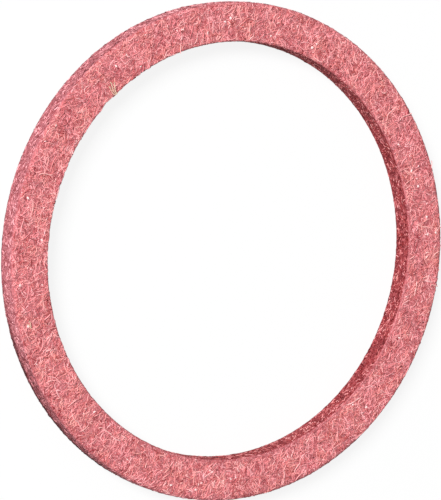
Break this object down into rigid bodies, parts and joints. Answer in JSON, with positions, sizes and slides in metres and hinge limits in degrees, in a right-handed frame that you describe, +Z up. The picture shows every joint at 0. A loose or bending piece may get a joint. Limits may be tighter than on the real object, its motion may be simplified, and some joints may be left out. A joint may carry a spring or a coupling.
{
  "type": "flat fibre sealing ring",
  "caption": "Flat ring gasket of red pressed fibre that seals the joint face round a threaded plug, union or spigot when it is squeezed.",
  "frame": {"origin": "centre of the ring on its lower face, which lies on the surface", "axes": "+Z up along the ring's axis, from the lower face to the rolled upper face; X and Y are equivalent in the plane of the ring"},
  "size_m": [0.031, 0.031, 0.0015],
  "materials": {
    "red_fibre": "matte red pressed fibre, with pale felted fibres in the faces and darker cut walls"
  },
  "bodies": {
    "root": {"sealing_ring": "red_fibre"}
  },
  "joints": []
}
